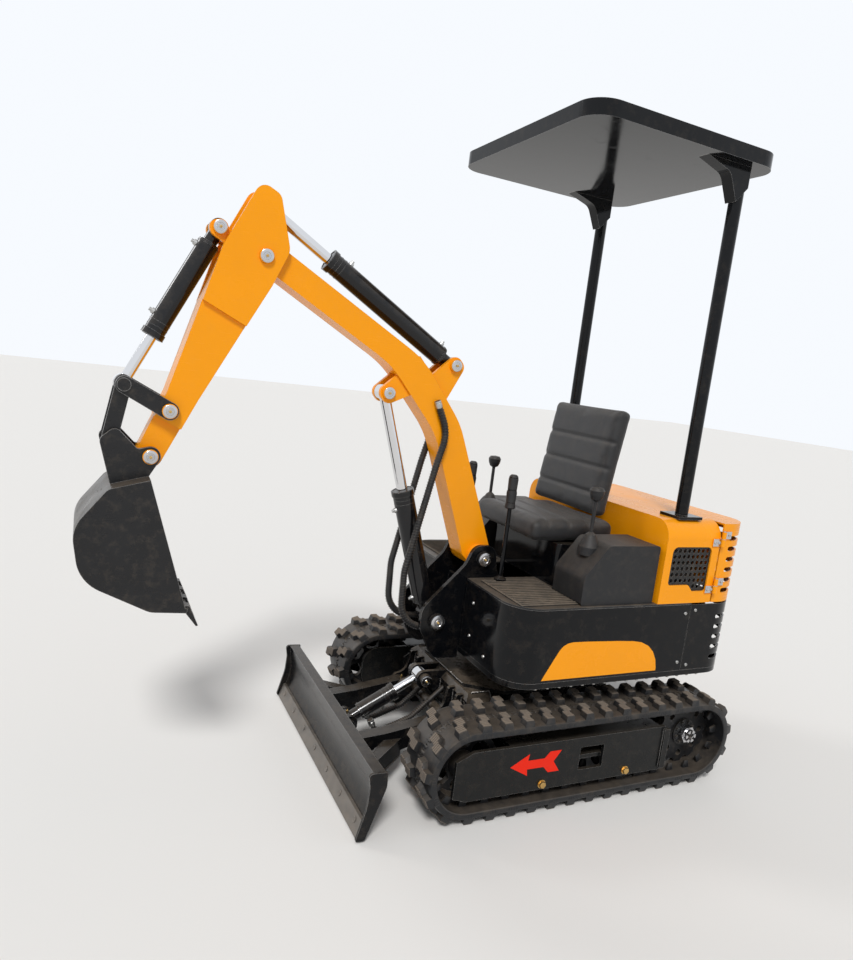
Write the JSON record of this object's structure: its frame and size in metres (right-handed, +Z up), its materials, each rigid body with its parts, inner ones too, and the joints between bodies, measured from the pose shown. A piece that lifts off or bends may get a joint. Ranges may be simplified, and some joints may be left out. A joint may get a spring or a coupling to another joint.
{
  "type": "mini excavator",
  "caption": "Compact tracked digger with an open operator station, slewing house, boom, arm, bucket and a front dozer blade.",
  "frame": {"origin": "bottom centre of the bounding box, on the ground under the tracks", "axes": "+X forward, over the blade, +Y to the machine's left, +Z up"},
  "size_m": [2.087, 0.93, 2.0558],
  "materials": {
    "black_paint": "glossy black paint",
    "yellow_paint": "yellow-orange paint",
    "track_rubber": "worn black rubber with dust",
    "cast_wheel": "black painted castings",
    "bare_nut": "bright plated steel",
    "ring_steel": "dark oiled steel",
    "edge_steel": "scuffed steel edge",
    "cylinder_paint": "black cylinder paint",
    "rod_chrome": "hard chrome",
    "hose_rubber": "black rubber hose",
    "grille_sheet": "black perforated sheet",
    "engine_iron": "dark engine",
    "seat_vinyl": "black seat cover",
    "console_plastic": "black moulded plastic",
    "floor_paint": "black floor plate",
    "bucket_paint": "black bucket paint"
  },
  "bodies": {
    "undercarriage": {"center_frame": "black_paint", "deck_plate": "black_paint", "cross_members": "black_paint", "front_ears": "black_paint", "cross_tube": "black_paint", "slew_ring": "ring_steel", "track_left": "track_rubber", "track_frame_left": "black_paint", "idler_left": "cast_wheel", "sprocket_left": "cast_wheel", "hub_nut_left": "bare_nut", "roller_front_left": "cast_wheel", "roller_rear_left": "cast_wheel", "track_right": "track_rubber", "track_frame_right": "black_paint", "idler_right": "cast_wheel", "sprocket_right": "cast_wheel", "hub_nut_right": "bare_nut", "roller_front_right": "cast_wheel", "roller_rear_right": "cast_wheel"},
    "house": {"house_base": "black_paint", "rear_cowl": "black_paint", "floor_plate": "floor_paint", "boom_bracket": "black_paint", "engine_cover": "yellow_paint", "engine": "engine_iron", "seat_base": "black_paint", "seat_cushion": "seat_vinyl", "seat_backrest": "seat_vinyl", "canopy_roof": "black_paint", "side_panel_left": "black_paint", "side_grille_left": "grille_sheet", "console_left": "console_plastic", "travel_lever_left": "black_paint", "canopy_post_left": "black_paint", "boom_hose_left": "hose_rubber", "side_panel_right": "black_paint", "side_grille_right": "grille_sheet", "console_right": "console_plastic", "travel_lever_right": "black_paint", "canopy_post_right": "black_paint", "boom_hose_right": "hose_rubber"},
    "rear_door": {"rear_door": "yellow_paint"},
    "blade": {"blade": "black_paint", "blade_edge": "edge_steel"},
    "blade_barrel": {"blade_cylinder_barrel": "cylinder_paint", "blade_hose_left": "hose_rubber", "blade_hose_right": "hose_rubber"},
    "blade_rod": {"blade_cylinder_rod": "rod_chrome"},
    "boom": {"boom": "yellow_paint"},
    "boom_barrel": {"boom_cylinder_barrel": "cylinder_paint"},
    "boom_rod": {"boom_cylinder_rod": "rod_chrome"},
    "arm": {"arm": "yellow_paint"},
    "arm_barrel": {"arm_cylinder_barrel": "cylinder_paint"},
    "arm_rod": {"arm_cylinder_rod": "rod_chrome"},
    "bucket": {"bucket": "bucket_paint"},
    "bucket_rocker": {"bucket_rocker": "bucket_paint"},
    "bucket_link": {"bucket_link": "bucket_paint"},
    "bucket_barrel": {"bucket_cylinder_barrel": "cylinder_paint"},
    "bucket_rod": {"bucket_cylinder_rod": "rod_chrome"}
  },
  "joints": [
    {"name": "house_slew", "type": "hinge", "parent": "undercarriage", "child": "house", "pos_m": [-0.458, 0, 0.372], "axis": [0, 0, 1], "continuous": true},
    {"name": "blade_lift", "type": "hinge", "parent": "undercarriage", "child": "blade", "pos_m": [-0.048, 0, 0.151], "axis": [0, -1, 0], "range_deg": [-24, 22], "deforming": ["blade_hose_left", "blade_hose_right"]},
    {"name": "boom_lift", "type": "hinge", "parent": "house", "child": "boom", "pos_m": [-0.178, 0, 0.69], "axis": [0, -1, 0], "range_deg": [-68, 15], "deforming": ["boom_hose_left", "boom_hose_right"]},
    {"name": "arm_crowd", "type": "hinge", "parent": "boom", "child": "arm", "pos_m": [0.6063, 0, 1.53106], "axis": [0, 1, 0], "range_deg": [-85, 25]},
    {"name": "bucket_curl", "type": "hinge", "parent": "arm", "child": "bucket", "pos_m": [0.86832, 0, 0.96915], "axis": [0, 1, 0], "range_deg": [-50, 95]},
    {"name": "rear_door_swing", "type": "hinge", "parent": "house", "child": "rear_door", "pos_m": [-0.891, 0.411, 0.76], "axis": [0, 0, -1], "range_deg": [0, 100]},
    {"name": "blade_barrel_swing", "type": "hinge", "parent": "blade", "child": "blade_barrel", "pos_m": [0.209, 0, 0.12], "axis": [0, -1, 0], "range_deg": [-3.7, 4.01]},
    {"name": "blade_rod_slide", "type": "slide", "parent": "blade_barrel", "child": "blade_rod", "axis": [-0.8829, 0, 0.4695], "range_m": [-0.0361, 0.0393]},
    {"name": "boom_barrel_swing", "type": "hinge", "parent": "house", "child": "boom_barrel", "pos_m": [-0.032, 0, 0.48], "axis": [0, -1, 0], "range_deg": [-62.28, 13.97]},
    {"name": "boom_rod_slide", "type": "slide", "parent": "boom_barrel", "child": "boom_rod", "axis": [0.3079, 0, 0.9514], "range_m": [-0.283, 0.0632]},
    {"name": "arm_barrel_swing", "type": "hinge", "parent": "boom", "child": "arm_barrel", "pos_m": [-0.01549, 0, 1.30416], "axis": [0, -1, 0], "range_deg": [-0.74, 1.79]},
    {"name": "arm_rod_slide", "type": "slide", "parent": "arm_barrel", "child": "arm_rod", "axis": [0.8602, 0, 0.51], "range_m": [-0.2074, 0.0617]},
    {"name": "rocker_swing", "type": "hinge", "parent": "arm", "child": "bucket_rocker", "pos_m": [0.82698, 0, 1.0933], "axis": [0, 1, 0], "range_deg": [-39.93, 75.6]},
    {"name": "link_swing", "type": "hinge", "parent": "bucket_rocker", "child": "bucket_link", "pos_m": [0.94233, 0, 1.15325], "axis": [0, 1, 0], "range_deg": [-64.81, 34.25]},
    {"name": "bucket_barrel_swing", "type": "hinge", "parent": "arm", "child": "bucket_barrel", "pos_m": [0.72774, 0, 1.58769], "axis": [0, -1, 0], "range_deg": [-5.61, 3.09]},
    {"name": "bucket_rod_slide", "type": "slide", "parent": "bucket_barrel", "child": "bucket_rod", "axis": [0.4429, 0, -0.8966], "range_m": [-0.0795, 0.1502]}
  ],
  "couplings": [
    {"joint": "blade_barrel_swing", "follows": "blade_lift", "ratio": -0.1547},
    {"joint": "blade_rod_slide", "follows": "blade_lift", "m_per_rad": -0.09138},
    {"joint": "boom_barrel_swing", "follows": "boom_lift", "ratio": 0.9115},
    {"joint": "boom_rod_slide", "follows": "boom_lift", "m_per_rad": 0.23762},
    {"joint": "arm_barrel_swing", "follows": "arm_crowd", "ratio": -0.0175},
    {"joint": "arm_rod_slide", "follows": "arm_crowd", "m_per_rad": 0.1391},
    {"joint": "rocker_swing", "follows": "bucket_curl", "ratio": 0.7926},
    {"joint": "link_swing", "follows": "bucket_curl", "ratio": -0.679},
    {"joint": "bucket_barrel_swing", "follows": "bucket_curl", "ratio": -0.0559},
    {"joint": "bucket_rod_slide", "follows": "bucket_curl", "m_per_rad": 0.08996}
  ]
}
